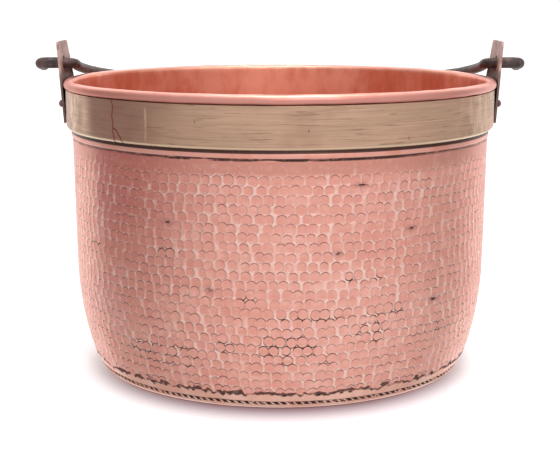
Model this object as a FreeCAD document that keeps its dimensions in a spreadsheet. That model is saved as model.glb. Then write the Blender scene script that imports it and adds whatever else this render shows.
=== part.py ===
import FreeCAD, Part
import Sketcher
import math
import os

# A copper cauldron with a swinging iron bail, in millimetres.
# Frame: +Z up, +X to the right, the bail folded down to the back (+Y).
# The origin is the middle of the flat bottom, on the surface it stands on.

# Driving sizes: name, millimetres (or degrees where the note says so), note.
SIZES = [
    ("rim_height", 269.0, "top of the rolled rim"),
    ("roll_diameter", 8.5, "thickness of the rolled rim"),
    ("roll_end_angle", 115.0, "degrees: how far below level the roll's free edge turns back"),
    ("sheet", 1.5, "copper sheet of the wall and the pan"),
    ("wall_radius", 194.6, "outside of the copper wall at the rim"),
    ("waist_taper", 1.55, "how much narrower the wall is where it starts to turn in"),
    ("waist_height", 100.5, "where the wall starts to turn in"),
    ("belly_radius", 272.0, "radius of the wall's turn towards the bottom"),
    ("bead_gap", 1.0, "from the band's lower edge down to the raised bead"),
    ("bead_height", 7.0, "height of the bead"),
    ("bead_swell", 1.1, "how far the bead stands out"),
    ("seam_height", 15.0, "lower edge of the wall, where it laps the pan"),
    ("seam_lap", 9.0, "how far the pan's lip goes up inside the wall"),
    ("corner_radius", 9.0, "outside radius of the pan's corner"),
    ("band_thickness", 1.6, "brass of the band"),
    ("band_stand_out", 5.4, "outside of the band from the outside of the wall"),
    ("band_height", 36.2, "height of the band"),
    ("band_corner", 4.5, "outside radius of the band's turned-in lower edge"),
    ("ear_thickness", 2.0, "plate of the ears"),
    ("ear_margin", 5.2, "height of band left bare below the ears"),
    ("ear_rise", 34.0, "how far the ears stand up above the rim"),
    ("ear_foot_width", 72.0, "width of the ears at the band"),
    ("ear_top_width", 48.0, "width of the ears at the top"),
    ("ear_corner", 5.0, "radius of the ears' top corners"),
    ("ear_clearance", 1.0, "gap between the rolled rim and the ears that pass it"),
    ("ear_lean", 2.0, "degrees: outward lean of the ears above the rolled rim's middle"),
    ("eye_play", 3.4, "how much wider the hole in each ear is than the bail's rod"),
    ("pivot_rise", 13.6, "height of the bail's axis above the top of the rim"),
    ("rivet_spread", 24.0, "each ear rivet's distance to the side of the ear's middle"),
    ("rivet_drop", 14.0, "ear rivets below the top of the band"),
    ("shank_diameter", 5.0, "ear rivets"),
    ("head_diameter", 7.0, "outer rivet heads"),
    ("head_height", 2.9, "outer rivet heads"),
    ("tail_diameter", 8.5, "closed rivet ends inside the wall"),
    ("tail_height", 1.2, "closed rivet ends inside the wall"),
    ("rod_diameter", 10.6, "iron rod of the bail"),
    ("bail_side_gap", 1.0, "between the bail's bow and the sides of the ears"),
    ("bow_setback", 34.0, "centre of the bail's bow behind its axis"),
    ("bend_radius", 8.0, "bends of the bail at each ear, centre line"),
    ("hook_reach", 21.0, "hooked ends outside the ears' outer faces, centre line"),
    ("hook_length", 23.0, "hooked ends, from the axis to the start of the rounded tip"),
    ("fit", 0.1, "clearance between pieces fixed to each other"),
    ("wire_fit", 0.25, "clearance of the wire in the rolled rim"),
    ("rest_gap", 0.3, "clearance of the folded bail over the rim"),
]

doc = FreeCAD.newDocument("cauldron")
sheet = doc.addObject("Spreadsheet::Sheet", "Sizes")
for row, (name, number, note) in enumerate(SIZES, start=1):
    sheet.set("A%d" % row, name)
    sheet.set("B%d" % row, str(number))
    sheet.setAlias("B%d" % row, name)
    sheet.set("C%d" % row, note)
doc.recompute()


class Size:
    # A length that carries its number and the sheet formula it comes from.

    def __init__(self, value, text=None):
        self.value = float(value)
        self.text = text or repr(float(value))

    def joined(self, sign, other, value):
        return Size(value, "(%s %s %s)" % (self.text, sign, other.text))

    def __add__(self, other):
        other = as_size(other)
        return self.joined("+", other, self.value + other.value)

    def __sub__(self, other):
        other = as_size(other)
        return self.joined("-", other, self.value - other.value)

    def __mul__(self, other):
        other = as_size(other)
        return self.joined("*", other, self.value * other.value)

    def __truediv__(self, other):
        other = as_size(other)
        return self.joined("/", other, self.value / other.value)

    def __neg__(self):
        return Size(-self.value, "(0 - %s)" % self.text)


def as_size(number):
    return number if isinstance(number, Size) else Size(number)


def root(square):
    return Size(math.sqrt(square.value), "sqrt(%s)" % square.text)


def tangent(degrees):
    return Size(math.tan(math.radians(degrees.value)), "tan(%s * 1 deg)" % degrees.text)


def cosine(degrees):
    return Size(math.cos(math.radians(degrees.value)), "cos(%s * 1 deg)" % degrees.text)


def sine(degrees):
    return Size(math.sin(math.radians(degrees.value)), "sin(%s * 1 deg)" % degrees.text)


class Named:
    pass


size = Named()
for name, number, note in SIZES:
    setattr(size, name, Size(number, "Sizes." + name))

ZERO = Size(0)

# Places that several pieces share, worked out from the driving sizes.
roll_outer = size.roll_diameter / 2
roll_inner = roll_outer - size.sheet
roll_middle = size.rim_height - roll_outer
wall_inside = size.wall_radius - size.sheet
roll_centre = wall_inside + roll_outer
waist_radius = size.wall_radius - size.waist_taper
band_radius = size.wall_radius + size.band_stand_out
band_top = size.rim_height - size.roll_diameter
band_bottom = band_top - size.band_height
bead_top = band_bottom - size.bead_gap
bead_bottom = bead_top - size.bead_height
belly_centre = waist_radius - size.belly_radius
belly_inner = size.belly_radius - size.sheet
ear_inner = band_radius + size.fit
ear_outer = ear_inner + size.ear_thickness
ear_drop = size.band_height - size.ear_margin
ear_bottom = band_top - ear_drop
plate_inner = wall_inside + size.roll_diameter + size.ear_clearance
pivot_height = size.rim_height + size.pivot_rise
ear_top = size.rim_height + size.ear_rise
plate_slope = tangent(size.ear_lean)
plate_inner_at_pivot = plate_inner + (pivot_height - roll_middle) * plate_slope
plate_inner_at_top = plate_inner + (ear_top - roll_middle) * plate_slope
eye_diameter = size.rod_diameter + size.eye_play
rivet_height = band_top - size.rivet_drop
foot_slope = (plate_inner - ear_inner) / (roll_middle - ear_bottom)
side_at_roll = root(plate_inner * plate_inner - size.ear_foot_width * size.ear_foot_width / 4)
side_rise = (plate_inner_at_top - side_at_roll) / (ear_top - roll_middle)
side_at_pivot = side_at_roll + (pivot_height - roll_middle) * side_rise
head_seat = ear_outer + (rivet_height + size.head_diameter / 2 - ear_bottom) * foot_slope + size.fit


def belly(radius, height):
    # Distance from the axis of a curve concentric with the wall's lower turn.
    rise = size.waist_height - height
    return belly_centre + root(radius * radius - rise * rise)


def new_body(label):
    body = doc.addObject("PartDesign::Body", label)
    body.Label = label
    return body


def new_sketch(body, name, role):
    plane = [item for item in body.Origin.OriginFeatures if item.Role == role][0]
    sketch = body.newObject("Sketcher::SketchObject", name)
    sketch.AttachmentSupport = (plane, [""])
    sketch.MapMode = "FlatFace"
    return sketch


def bind(sketch, kind, *args):
    # Adds a constraint whose last argument is a Size and ties it to the sheet.
    amount = args[-1]
    index = sketch.addConstraint(Sketcher.Constraint(kind, *args[:-1], amount.value))
    sketch.setExpression("Constraints[%d]" % index, amount.text)


def pin(sketch, geometry, corner, across, up):
    # Fixes a corner of the sketch at (across, up).
    if across.value == 0:
        sketch.addConstraint(Sketcher.Constraint("PointOnObject", geometry, corner, -2))
    else:
        bind(sketch, "DistanceX", -1, 1, geometry, corner, across)
    if up.value == 0:
        sketch.addConstraint(Sketcher.Constraint("PointOnObject", geometry, corner, -1))
    else:
        bind(sketch, "DistanceY", -1, 1, geometry, corner, up)


def trace(sketch, corners, closed=True):
    # Draws straight and round stretches through the corners. Each corner is
    # (across, up) or (across, up, centre across, centre up, radius, turn):
    # the last four describe an arc to the next corner, turn +1 going
    # counter-clockwise and -1 clockwise.
    count = len(corners) if closed else len(corners) - 1
    ends = []
    for index in range(count):
        first = corners[index]
        second = corners[(index + 1) % len(corners)]
        start = FreeCAD.Vector(first[0].value, first[1].value, 0)
        stop = FreeCAD.Vector(second[0].value, second[1].value, 0)
        if len(first) == 2:
            geometry = sketch.addGeometry(Part.LineSegment(start, stop))
            ends.append((geometry, 1, 2))
            continue
        middle = FreeCAD.Vector(first[2].value, first[3].value, 0)
        circle = Part.Circle(middle, FreeCAD.Vector(0, 0, 1), first[4].value)
        begin = math.atan2(start.y - middle.y, start.x - middle.x)
        finish = math.atan2(stop.y - middle.y, stop.x - middle.x)
        if first[5] > 0:
            geometry = sketch.addGeometry(Part.ArcOfCircle(circle, begin, finish))
            ends.append((geometry, 1, 2))
        else:
            geometry = sketch.addGeometry(Part.ArcOfCircle(circle, finish, begin))
            ends.append((geometry, 2, 1))
        bind(sketch, "Radius", geometry, first[4])
    for index, (geometry, first_end, last_end) in enumerate(ends):
        pin(sketch, geometry, first_end, corners[index][0], corners[index][1])
        following = ends[(index + 1) % len(ends)]
        if closed or index + 1 < len(ends):
            joint = Sketcher.Constraint("Coincident", geometry, last_end, following[0], following[1])
            sketch.addConstraint(joint)
    if not closed:
        pin(sketch, ends[-1][0], ends[-1][2], corners[-1][0], corners[-1][1])


def revolve(body, sketch, axis="V_Axis"):
    turned = body.newObject("PartDesign::Revolution", "Turned")
    turned.Profile = sketch
    turned.ReferenceAxis = (sketch, [axis])
    turned.Angle = 360
    sketch.Visibility = False
    return turned


def drill(body, angle, height, diameter):
    # A hole straight out from the vessel's axis, at an angle round it.
    sketch = new_sketch(body, "HoleOutline", "YZ_Plane")
    tilt = FreeCAD.Rotation(FreeCAD.Vector(0, 1, 0), 0)
    sketch.AttachmentOffset = FreeCAD.Placement(FreeCAD.Vector(), tilt)
    sketch.setExpression("AttachmentOffset.Rotation.Angle", angle.text)
    middle = FreeCAD.Vector(0, height.value, 0)
    circle = Part.Circle(middle, FreeCAD.Vector(0, 0, 1), diameter.value / 2)
    sketch.addGeometry(circle)
    bind(sketch, "Diameter", 0, diameter)
    pin(sketch, 0, 3, ZERO, height)
    hole = body.newObject("PartDesign::Pocket", "Hole")
    hole.Profile = sketch
    hole.Reversed = True
    hole.Length = ear_outer.value
    hole.setExpression("Length", (ear_outer * 1.2).text)
    return hole


def rivet_angle(side, turn=0):
    # Angle round the vessel of the rivet on one side of the ear at this turn.
    swing = math.degrees(math.asin(size.rivet_spread.value / ear_outer.value))
    formula = "%d deg + %d * asin(%s / %s)" % (turn, side, size.rivet_spread.text, ear_outer.text)
    return Size(turn + side * swing, formula)


def rivet_angles():
    return [rivet_angle(side, turn) for turn in (0, 180) for side in (-1, 1)]


# The hammered wall: one sheet from the seam at the bottom to the rolled rim.
def make_wall():
    body = new_body("vessel_wall")
    end_across = roll_centre + cosine(-size.roll_end_angle) * roll_inner
    end_up = roll_middle + sine(-size.roll_end_angle) * roll_inner
    lip_across = roll_centre + cosine(-size.roll_end_angle) * roll_outer
    lip_up = roll_middle + sine(-size.roll_end_angle) * roll_outer
    bead_middle = bead_top - size.bead_height / 2
    half = size.bead_height / 2
    bead_curve = (half * half + size.bead_swell * size.bead_swell) / (size.bead_swell * 2)
    bead_centre = size.wall_radius + size.bead_swell - bead_curve
    bead_inner = bead_curve - size.sheet
    dent = root(bead_inner * bead_inner - (wall_inside - bead_centre) * (wall_inside - bead_centre))
    corners = [
        (belly(size.belly_radius, size.seam_height), size.seam_height,
         belly_centre, size.waist_height, size.belly_radius, 1),
        (waist_radius, size.waist_height),
        (size.wall_radius, bead_bottom, bead_centre, bead_middle, bead_curve, 1),
        (size.wall_radius, bead_top),
        (size.wall_radius, roll_middle, roll_centre, roll_middle, roll_inner, -1),
        (end_across, end_up),
        (lip_across, lip_up, roll_centre, roll_middle, roll_outer, 1),
        (wall_inside, roll_middle),
        (wall_inside, bead_middle + dent, bead_centre, bead_middle, bead_inner, -1),
        (wall_inside, bead_middle - dent),
        (waist_radius - size.sheet, size.waist_height,
         belly_centre, size.waist_height, belly_inner, -1),
        (belly(belly_inner, size.seam_height), size.seam_height),
    ]
    sketch = new_sketch(body, "WallSection", "XZ_Plane")
    trace(sketch, corners)
    revolve(body, sketch)
    for angle in rivet_angles():
        drill(body, angle, rivet_height, size.shank_diameter + size.fit * 2)
    return body


# The iron wire that the rim is rolled over.
def make_wire():
    wire = doc.addObject("Part::Torus", "rim_wire")
    wire.Label = "rim_wire"
    wire.setExpression("Radius1", roll_centre.text)
    wire.setExpression("Radius2", (roll_inner - size.wire_fit).text)
    wire.setExpression("Placement.Base.z", roll_middle.text)
    return wire


# The pan: flat bottom, round corner and a lip that goes up inside the wall.
def make_pan():
    body = new_body("base_pan")
    outer = belly_inner - size.fit
    inner = outer - size.sheet
    corner_inner = size.corner_radius - size.sheet
    centre_up = size.corner_radius
    centre_across = belly(outer - size.corner_radius, centre_up)
    # The corner's circle touches the lip's curve on the line through both centres.
    reach = outer / (outer - size.corner_radius)
    meet_across = belly_centre + (centre_across - belly_centre) * reach
    meet_up = size.waist_height - (size.waist_height - centre_up) * reach
    inner_reach = inner / (outer - size.corner_radius)
    inner_meet_across = belly_centre + (centre_across - belly_centre) * inner_reach
    inner_meet_up = size.waist_height - (size.waist_height - centre_up) * inner_reach
    lip_up = size.seam_height + size.seam_lap
    corners = [
        (ZERO, ZERO),
        (centre_across, ZERO, centre_across, centre_up, size.corner_radius, 1),
        (meet_across, meet_up, belly_centre, size.waist_height, outer, 1),
        (belly(outer, lip_up), lip_up),
        (belly(inner, lip_up), lip_up, belly_centre, size.waist_height, inner, -1),
        (inner_meet_across, inner_meet_up, centre_across, centre_up, corner_inner, -1),
        (centre_across, size.sheet),
        (ZERO, size.sheet),
    ]
    sketch = new_sketch(body, "PanSection", "XZ_Plane")
    trace(sketch, corners)
    revolve(body, sketch)
    return body


# The brass band, its lower edge turned in to the wall.
def make_band():
    body = new_body("brass_band")
    inside = band_radius - size.band_thickness
    centre_across = band_radius - size.band_corner
    centre_up = band_bottom + size.band_corner
    inner_corner = size.band_corner - size.band_thickness
    foot = size.wall_radius + size.fit
    top = band_top - size.fit
    corners = [
        (foot, band_bottom),
        (centre_across, band_bottom, centre_across, centre_up, size.band_corner, 1),
        (band_radius, centre_up),
        (band_radius, top),
        (inside, top),
        (inside, centre_up, centre_across, centre_up, inner_corner, -1),
        (centre_across, band_bottom + size.band_thickness),
        (foot, band_bottom + size.band_thickness),
    ]
    sketch = new_sketch(body, "BandSection", "XZ_Plane")
    trace(sketch, corners)
    revolve(body, sketch)
    for angle in rivet_angles():
        drill(body, angle, rivet_height, size.shank_diameter + size.fit * 2)
    return body


def ear_section(body, height, half_width, inner, curved):
    # A level slice of the ear, curved round the vessel's axis or flat.
    outer = inner + size.ear_thickness
    corners = [(outer, -half_width), (outer, half_width), (inner, half_width), (inner, -half_width)]
    if curved:
        inner_end = root(inner * inner - half_width * half_width)
        outer_end = root(outer * outer - half_width * half_width)
        corners = [
            (outer_end, -half_width, ZERO, ZERO, outer, 1),
            (outer_end, half_width),
            (inner_end, half_width, ZERO, ZERO, inner, -1),
            (inner_end, -half_width),
        ]
    sketch = new_sketch(body, "EarSlice", "XY_Plane")
    sketch.setExpression("AttachmentOffset.Base.z", height.text)
    trace(sketch, corners)
    return sketch


# An ear: a plate riveted to the band that slants out past the rim and leans out.
def make_ear(label, turn):
    body = new_body(label)
    foot = size.ear_foot_width / 2
    slices = [
        ear_section(body, ear_bottom, foot, ear_inner, True),
        ear_section(body, roll_middle, foot, plate_inner, True),
        ear_section(body, ear_top, size.ear_top_width / 2, plate_inner_at_top, False),
    ]
    plate = body.newObject("PartDesign::AdditiveLoft", "Plate")
    plate.Profile = slices[0]
    plate.Sections = slices[1:]
    plate.Ruled = True
    eye_outline = new_sketch(body, "EyeOutline", "YZ_Plane")
    middle = FreeCAD.Vector(0, pivot_height.value, 0)
    circle = Part.Circle(middle, FreeCAD.Vector(0, 0, 1), eye_diameter.value / 2)
    eye_outline.addGeometry(circle)
    bind(eye_outline, "Diameter", 0, eye_diameter)
    pin(eye_outline, 0, 3, ZERO, pivot_height)
    eye = body.newObject("PartDesign::Pocket", "Eye")
    eye.Profile = eye_outline
    eye.Type = "ThroughAll"
    eye.Midplane = True
    for side in (-1, 1):
        drill(body, rivet_angle(side), rivet_height, size.shank_diameter + size.fit * 2)
    doc.recompute()
    drilled = body.Tip
    top_corners = []
    for number, edge in enumerate(body.Shape.Edges, start=1):
        level = all(abs(vertex.Z - ear_top.value) < 0.01 for vertex in edge.Vertexes)
        if level and edge.Length < size.ear_thickness.value * 1.5:
            top_corners.append("Edge%d" % number)
    rounded = body.newObject("PartDesign::Fillet", "RoundedCorners")
    rounded.Base = (drilled, top_corners)
    rounded.Radius = size.ear_corner.value
    rounded.setExpression("Radius", size.ear_corner.text)
    body.Placement = FreeCAD.Placement(FreeCAD.Vector(), FreeCAD.Rotation(FreeCAD.Vector(0, 0, 1), turn))
    return body


def dome_radius(diameter, height):
    # Radius of the ball whose cap has this diameter and height.
    half = diameter / 2
    return (half * half + height * height) / (height * 2)


# A rivet lying along X: domed head outside the ear, closed end inside the wall.
def make_rivet(label, angle):
    body = new_body(label)
    closed = wall_inside - size.fit
    head = dome_radius(size.head_diameter, size.head_height)
    tail = dome_radius(size.tail_diameter, size.tail_height)
    corners = [
        (closed - size.tail_height, ZERO),
        (head_seat + size.head_height, ZERO, head_seat + size.head_height - head, ZERO, head, 1),
        (head_seat, size.head_diameter / 2),
        (head_seat, size.shank_diameter / 2),
        (closed, size.shank_diameter / 2),
        (closed, size.tail_diameter / 2, closed - size.tail_height + tail, ZERO, tail, 1),
    ]
    sketch = new_sketch(body, "RivetSection", "XZ_Plane")
    trace(sketch, corners)
    revolve(body, sketch, "H_Axis")
    body.Placement = FreeCAD.Placement(FreeCAD.Vector(), FreeCAD.Rotation(FreeCAD.Vector(0, 0, 1), 0))
    body.setExpression("Placement.Rotation.Angle", angle.text)
    body.setExpression("Placement.Base.z", rivet_height.text)
    return body


def make_rivets(label, turn):
    pair = doc.addObject("Part::Compound", label)
    pair.Label = label
    pair.Links = [make_rivet(label + "_single", rivet_angle(side, turn)) for side in (-1, 1)]
    return pair


bow_radius = side_at_pivot - size.rod_diameter / 2 - size.bail_side_gap
hook_across = plate_inner_at_pivot + size.ear_thickness + size.hook_reach
bend_across = root((bow_radius + size.bend_radius) * (bow_radius + size.bend_radius)
                   - (size.bow_setback - size.bend_radius) * (size.bow_setback - size.bend_radius))
bend_share = bow_radius / (bow_radius + size.bend_radius)
meet_across = bend_across * bend_share
meet_back = size.bow_setback - (size.bow_setback - size.bend_radius) * bend_share


def rim_clearance(dip):
    # Smallest gap between the bail's rod and the rolled rim, the bail's bow
    # pointing back and dipping by this angle below level.
    gaps = []
    for step in range(1, 180):
        turn = math.pi * step / 360
        across = bow_radius.value * math.cos(turn)
        back = size.bow_setback.value + bow_radius.value * math.sin(turn)
        level = math.hypot(across, back * math.cos(dip)) - roll_centre.value
        above = pivot_height.value - back * math.sin(dip) - roll_middle.value
        gaps.append(math.hypot(level, above))
    return min(gaps) - roll_outer.value - size.rod_diameter.value / 2


def resting_dip():
    # Folded back, the bail sinks until it is one rest gap above the rim.
    high, low = 0.0, math.radians(30)
    for step in range(40):
        middle = (high + low) / 2
        if rim_clearance(middle) > size.rest_gap.value:
            high = middle
        else:
            low = middle
    return math.degrees(high)


# The bail: one iron rod, hooked outside each ear and bowed round the back.
def make_bail():
    body = new_body("bail")
    bend = size.bend_radius
    corners = [
        (-hook_across, size.hook_length),
        (-hook_across, bend, bend - hook_across, bend, bend, 1),
        (bend - hook_across, ZERO),
        (-bend_across, ZERO, -bend_across, bend, bend, 1),
        (-meet_across, meet_back, ZERO, size.bow_setback, bow_radius, -1),
        (meet_across, meet_back, bend_across, bend, bend, 1),
        (bend_across, ZERO),
        (hook_across - bend, ZERO, hook_across - bend, bend, bend, 1),
        (hook_across, bend),
        (hook_across, size.hook_length),
    ]
    path = new_sketch(body, "BailPath", "XY_Plane")
    trace(path, corners, closed=False)
    section = new_sketch(body, "RodSection", "XZ_Plane")
    section.setExpression("AttachmentOffset.Base.z", (-size.hook_length).text)
    middle = FreeCAD.Vector(-hook_across.value, 0, 0)
    section.addGeometry(Part.Circle(middle, FreeCAD.Vector(0, 0, 1), size.rod_diameter.value / 2))
    bind(section, "Diameter", 0, size.rod_diameter)
    pin(section, 0, 3, -hook_across, ZERO)
    rod = body.newObject("PartDesign::AdditivePipe", "Rod")
    rod.Profile = section
    rod.Spine = (path, ["Edge%d" % number for number in range(1, len(corners))])
    for sign in (-1, 1):
        tip = body.newObject("PartDesign::AdditiveSphere", "Tip")
        tip.Radius = size.rod_diameter.value / 2
        tip.setExpression("Radius", (size.rod_diameter / 2).text)
        tip.setExpression("Placement.Base.x", (hook_across * sign).text)
        tip.setExpression("Placement.Base.y", size.hook_length.text)
    dip = FreeCAD.Rotation(FreeCAD.Vector(1, 0, 0), -resting_dip())
    body.Placement = FreeCAD.Placement(FreeCAD.Vector(), dip)
    body.setExpression("Placement.Base.z", pivot_height.text)
    return body


nodes = [
    make_wall(),
    make_wire(),
    make_pan(),
    make_band(),
    make_ear("ear_right", 0),
    make_ear("ear_left", 180),
    make_rivets("ear_right_rivets", 0),
    make_rivets("ear_left_rivets", 180),
    make_bail(),
]
doc.recompute()

for item in doc.Objects:
    if "Invalid" in item.State or "Error" in item.State:
        raise RuntimeError("%s did not build: %s" % (item.Name, item.State))
for node in nodes:
    if node.Shape.isNull() or not node.Shape.isValid():
        raise RuntimeError("%s has no valid shape" % node.Label)

os.makedirs("parts", exist_ok=True)
for node in nodes:
    node.Shape.exportStep("parts/%s.step" % node.Label)
    box = node.Shape.BoundBox
    print("%-18s solids %d volume %.1f  x %.1f %.1f  y %.1f %.1f  z %.1f %.1f" % (
        node.Label, len(node.Shape.Solids), node.Shape.Volume,
        box.XMin, box.XMax, box.YMin, box.YMax, box.ZMin, box.ZMax))
print("bail dips %.3f degrees, axis %.3f mm up, clears the rim by %.3f mm" % (
    resting_dip(), pivot_height.value, rim_clearance(math.radians(resting_dip()))))
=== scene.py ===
import math

import bmesh
import bpy
from mathutils import Matrix, Vector, noise


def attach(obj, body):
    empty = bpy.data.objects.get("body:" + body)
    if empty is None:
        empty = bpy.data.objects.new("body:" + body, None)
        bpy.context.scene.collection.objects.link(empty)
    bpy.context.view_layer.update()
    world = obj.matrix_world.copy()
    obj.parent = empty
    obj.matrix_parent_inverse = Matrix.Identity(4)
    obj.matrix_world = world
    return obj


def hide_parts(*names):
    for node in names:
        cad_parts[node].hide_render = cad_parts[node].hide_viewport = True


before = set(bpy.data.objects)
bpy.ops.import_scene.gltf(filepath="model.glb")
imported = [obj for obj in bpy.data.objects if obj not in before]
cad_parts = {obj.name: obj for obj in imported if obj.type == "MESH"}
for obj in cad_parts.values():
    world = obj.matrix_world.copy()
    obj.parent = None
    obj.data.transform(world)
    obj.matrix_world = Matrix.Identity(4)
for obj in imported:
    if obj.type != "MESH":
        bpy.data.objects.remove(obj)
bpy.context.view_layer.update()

# A hammered copper cauldron: copper skin, rolled rim, brass band, riveted ears, iron bail.
# Metres. The front is -Y; an angle of 0 is the front and grows towards +X.

# The main places, as the frame has them.
pot = {
    "wallRadius": 0.1946,       # outside of the copper wall under the band
    "sheet": 0.0015,            # thickness of the copper
    "waistRadius": 0.19305,     # outside of the wall where it starts to turn in
    "waistHeight": 0.1005,
    "bellyRadius": 0.272,       # radius of the lower turn
    "seamHeight": 0.015,        # lower edge of the wall, over the pan
    "beadBottom": 0.2163,
    "beadTop": 0.2233,
    "beadSwell": 0.0011,
    "rollCentre": (0.19735, 0.26475),
    "rollRadius": 0.00425,
    "rollEnd": 115,             # degrees below level where the roll's free edge stops
}
bellyCentre = pot["waistRadius"] - pot["bellyRadius"]


# Small tools for meshes.

def around(angle, radius, height):
    return (radius * math.sin(angle), -radius * math.cos(angle), height)


def arc(centre, radius, start, stop, steps):
    # Points of an arc in a section, angles in degrees from straight out.
    points = []
    for step in range(steps + 1):
        turn = math.radians(start + (stop - start) * step / steps)
        points.append((centre[0] + radius * math.cos(turn), centre[1] + radius * math.sin(turn)))
    return points


def straight(start, stop, steps):
    return [(start[0] + (stop[0] - start[0]) * step / steps, start[1] + (stop[1] - start[1]) * step / steps)
            for step in range(steps + 1)]


def belly(inset, height):
    # Radius at a height of a skin that lies inset below the wall's outside.
    rise = pot["waistHeight"] - height
    if rise <= 0:
        share = -rise / (pot["beadBottom"] - pot["waistHeight"])
        return pot["waistRadius"] - inset + (pot["wallRadius"] - pot["waistRadius"]) * min(share, 1)
    curve = pot["bellyRadius"] - inset
    return bellyCentre + math.sqrt(curve * curve - rise * rise)


def wave(angle, height, scale, seed):
    # Smooth noise that joins up round the pot.
    return noise.noise(Vector((math.sin(angle) * scale, -math.cos(angle) * scale, height * 8 + seed)))


def meshPiece(name, points, faces):
    mesh = bpy.data.meshes.new(name)
    mesh.from_pydata(points, [], faces)
    mesh.polygons.foreach_set("use_smooth", [True] * len(mesh.polygons))
    piece = bpy.data.objects.new(name, mesh)
    bpy.context.scene.collection.objects.link(piece)
    return piece


def turned(name, section, angles, shape=None):
    # A closed section turned round the axis: up on the outside, down on the inside.
    points = []
    for angle in angles:
        for index, (radius, height) in enumerate(section):
            if shape:
                radius, height = shape(angle, index, radius, height)
            points.append(around(angle, radius, height))
    rows = len(section)
    faces = []
    for column in range(len(angles)):
        here, there = column * rows, (column + 1) % len(angles) * rows
        for row in range(rows):
            above = (row + 1) % rows
            faces.append((here + row, there + row, there + above, here + above))
    return meshPiece(name, points, faces)


def even(count):
    return [2 * math.pi * step / count for step in range(count)]


def writeAttribute(piece, name, values):
    piece.data.attributes.new(name, "FLOAT", "POINT").data.foreach_set("value", values)


# Small tools for node trees: a value is a socket or a plain number.

class Wiring:
    def __init__(self, tree):
        self.tree = tree

    def add(self, kind, **settings):
        node = self.tree.nodes.new(kind)
        for setting, value in settings.items():
            setattr(node, setting, value)
        return node

    def feed(self, socket, value):
        if isinstance(value, bpy.types.NodeSocket):
            self.tree.links.new(value, socket)
        else:
            socket.default_value = value

    def maths(self, operation, *values):
        node = self.add("ShaderNodeMath", operation=operation)
        for socket, value in zip(node.inputs, values):
            self.feed(socket, value)
        return node.outputs[0]

    def times(self, first, second):
        return self.maths("MULTIPLY", first, second)

    def plus(self, first, second):
        return self.maths("ADD", first, second)

    def minus(self, first, second):
        return self.maths("SUBTRACT", first, second)

    def between(self, amount, first, second):
        node = self.add("ShaderNodeMix", data_type="FLOAT", clamp_factor=True)
        self.feed(node.inputs[0], amount)
        self.feed(node.inputs[2], first)
        self.feed(node.inputs[3], second)
        return node.outputs[0]

    def colours(self, amount, first, second):
        node = self.add("ShaderNodeMix", data_type="RGBA", clamp_factor=True)
        self.feed(node.inputs[0], amount)
        self.feed(node.inputs[6], first)
        self.feed(node.inputs[7], second)
        return node.outputs[2]

    def rise(self, value, low, high):
        # 0 below low, 1 above high, smooth between; low may be the larger one.
        node = self.add("ShaderNodeMapRange", interpolation_type="SMOOTHSTEP")
        for socket, number in zip(node.inputs[1:5], (low, high, 0.0, 1.0)):
            self.feed(socket, number)
        self.feed(node.inputs[0], value)
        return node.outputs[0]

    def split(self, vector):
        node = self.add("ShaderNodeSeparateXYZ")
        self.feed(node.inputs[0], vector)
        return node.outputs

    def distance(self, first, second):
        # Length of the line from nought to a point, given its two places.
        return self.maths("SQRT", self.plus(self.times(first, first), self.times(second, second)))

    def bearing(self, x, y):
        # Angle round the pot, nought at the front.
        return self.maths("ARCTAN2", x, self.times(y, -1.0))

    def joined(self, x, y, z):
        node = self.add("ShaderNodeCombineXYZ")
        for socket, value in zip(node.inputs, (x, y, z)):
            self.feed(socket, value)
        return node.outputs[0]

    def stretched(self, vector, factors):
        node = self.add("ShaderNodeVectorMath", operation="MULTIPLY")
        self.feed(node.inputs[0], vector)
        node.inputs[1].default_value = factors
        return node.outputs[0]

    def noise(self, vector, scale, detail, rough=0.5):
        node = self.add("ShaderNodeTexNoise")
        self.feed(node.inputs["Vector"], vector)
        for name, value in (("Scale", scale), ("Detail", detail), ("Roughness", rough)):
            self.feed(node.inputs[name], value)
        return node.outputs["Fac"]

    def chance(self, vector):
        # Random value and colour of a cell.
        node = self.add("ShaderNodeTexWhiteNoise", noise_dimensions="3D")
        self.feed(node.inputs["Vector"], vector)
        return node.outputs["Value"], node.outputs["Color"]


# The hammer marks, the same in the wall's shape and in its finish.

hammering = {
    "marksRound": 128,
    "firstRow": 0.013,          # height of the lowest row's lower side
    "rowPitch": 0.0079,
    "rowWave": 0.34,            # how far rows wander, in rows
    "markRadius": 0.00470,
    "radiusSpread": 0.0004,
    "jitterAlong": 0.17,        # in marks
    "jitterUp": 0.075,          # in rows
    "fadeFrom": 0.2125,         # the strip under the bead is plain
    "fadeTo": 0.1985,
    "depth": 0.00026,
    "lip": 0.0010,              # width of a mark's sloping edge
    "tilt": 0.00014,            # how much marks lean to one side
    "softEdge": 0.00008,        # half width of a mark's outline
    "swellShare": 0.0016,       # marks grow and shrink slowly over the wall
    "wanderNoise": (9.0, 2.0),
    "crowdingNoise": (14.0, 1.0),
    "fadeRaggedness": 0.012,
    "fadeNoise": (40.0, 1.0),
}


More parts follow.
